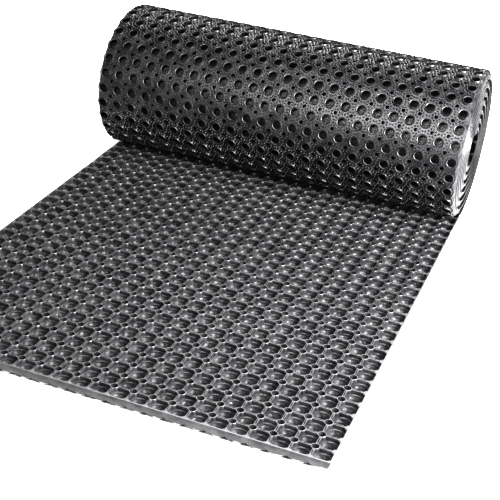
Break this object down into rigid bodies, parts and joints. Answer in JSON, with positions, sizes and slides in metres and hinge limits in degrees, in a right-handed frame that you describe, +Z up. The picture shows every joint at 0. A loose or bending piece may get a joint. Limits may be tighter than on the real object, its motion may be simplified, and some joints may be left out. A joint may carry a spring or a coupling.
{
  "type": "rubber ring mat roll",
  "caption": "Black rubber ring mat with a square grid of funnel-shaped drainage cells, one end laid out flat and the rest wound into a standing roll.",
  "frame": {"origin": "on the ground, below the middle of the part's box", "axes": "+X across the mat's width, +Y from the free end to the roll, +Z up from the ground"},
  "size_m": [1, 1.3922, 0.4085],
  "materials": {
    "rubber": "satin black moulded rubber"
  },
  "bodies": {
    "root": {"mat_laid_front": "rubber", "mat_laid_middle": "rubber", "mat_laid_rear": "rubber", "mat_roll": "rubber"}
  },
  "joints": []
}
